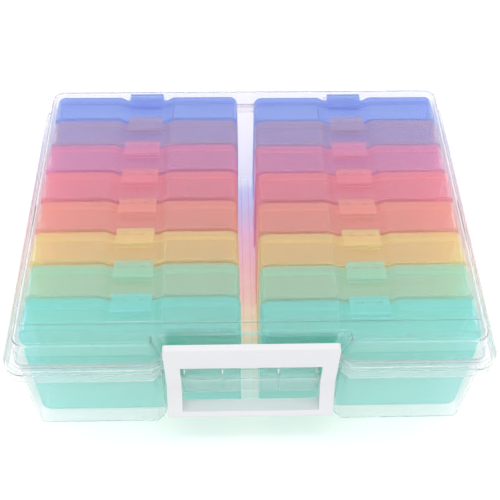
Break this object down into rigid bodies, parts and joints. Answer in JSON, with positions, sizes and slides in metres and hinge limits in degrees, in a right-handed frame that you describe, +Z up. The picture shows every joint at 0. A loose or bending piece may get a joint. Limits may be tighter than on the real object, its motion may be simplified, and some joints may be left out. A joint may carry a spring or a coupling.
{
  "type": "photo keeper case",
  "caption": "Clear carry box with a hinged lid and latching handle, holding upright snap-shut cases for photo prints or craft pieces in two columns.",
  "frame": {"origin": "middle of the box's underside, on the surface it stands on", "axes": "+Z up, +X along the box's width, -Y to the handle at the front, +Y to the lid's hinge"},
  "size_m": [0.38, 0.3128, 0.1251],
  "materials": {
    "clear_plastic": "clear, slightly frosted polypropylene",
    "white_plastic": "satin opaque white polypropylene",
    "blue_plastic": "translucent tinted polypropylene",
    "purple_plastic": "translucent tinted polypropylene",
    "magenta_plastic": "translucent tinted polypropylene",
    "red_plastic": "translucent tinted polypropylene",
    "orange_plastic": "translucent tinted polypropylene",
    "yellow_plastic": "translucent tinted polypropylene",
    "green_plastic": "translucent tinted polypropylene",
    "aqua_plastic": "translucent tinted polypropylene"
  },
  "bodies": {
    "box": {"base_tub": "clear_plastic", "case_blue_left_tray": "blue_plastic", "case_blue_left_cover": "blue_plastic", "case_purple_left_tray": "purple_plastic", "case_purple_left_cover": "purple_plastic", "case_magenta_left_tray": "magenta_plastic", "case_magenta_left_cover": "magenta_plastic", "case_red_left_tray": "red_plastic", "case_red_left_cover": "red_plastic", "case_orange_left_tray": "orange_plastic", "case_orange_left_cover": "orange_plastic", "case_yellow_left_tray": "yellow_plastic", "case_yellow_left_cover": "yellow_plastic", "case_green_left_tray": "green_plastic", "case_green_left_cover": "green_plastic", "case_aqua_left_tray": "aqua_plastic", "case_aqua_left_cover": "aqua_plastic", "case_blue_right_tray": "blue_plastic", "case_blue_right_cover": "blue_plastic", "case_purple_right_tray": "purple_plastic", "case_purple_right_cover": "purple_plastic", "case_magenta_right_tray": "magenta_plastic", "case_magenta_right_cover": "magenta_plastic", "case_red_right_tray": "red_plastic", "case_red_right_cover": "red_plastic", "case_orange_right_tray": "orange_plastic", "case_orange_right_cover": "orange_plastic", "case_yellow_right_tray": "yellow_plastic", "case_yellow_right_cover": "yellow_plastic", "case_green_right_tray": "green_plastic", "case_green_right_cover": "green_plastic", "case_aqua_right_tray": "aqua_plastic", "case_aqua_right_cover": "aqua_plastic"},
    "lid": {"lid_shell": "clear_plastic"},
    "latch_handle": {"handle": "white_plastic"}
  },
  "joints": [
    {"name": "lid_hinge", "type": "hinge", "parent": "box", "child": "lid", "pos_m": [0, 0.1512, 0.0994], "axis": [-1, 0, 0], "range_deg": [0, 110]},
    {"name": "handle_pivot", "type": "hinge", "parent": "box", "child": "latch_handle", "pos_m": [0, -0.1373, 0.0623], "axis": [1, 0, 0], "range_deg": [0, 25]}
  ]
}
